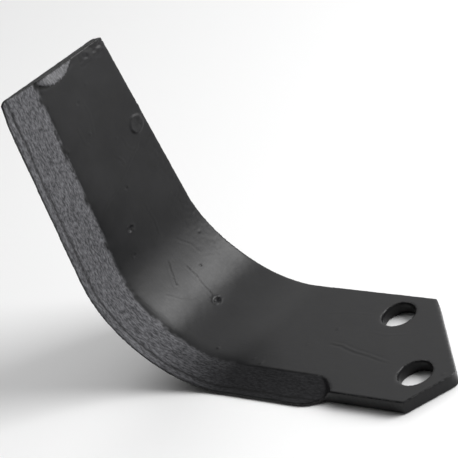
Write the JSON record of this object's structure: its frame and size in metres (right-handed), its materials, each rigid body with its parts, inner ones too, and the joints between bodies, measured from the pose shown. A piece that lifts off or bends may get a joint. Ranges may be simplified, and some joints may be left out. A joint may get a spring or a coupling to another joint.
{
  "type": "rotary tiller blade",
  "caption": "Forged steel rotary tiller blade with a flat two-hole shank, a pointed end, a round bend into an upright wing and a bevelled cutting edge",
  "frame": {"origin": "midway between the two bolt holes, on the face that bolts to the rotor flange", "axes": "+Z leaves the bolted face towards the hollow side of the bend, +X runs along the shank to its pointed end, -Y is the side of the cutting edge; the wing rises along +Z at the -X end"},
  "size_m": [0.164, 0.07, 0.1535],
  "materials": {
    "black_painted_steel": "thin semi-gloss black paint over forged steel, with a rough scaly bevel"
  },
  "bodies": {
    "root": {"tiller_blade": "black_painted_steel"}
  },
  "joints": []
}
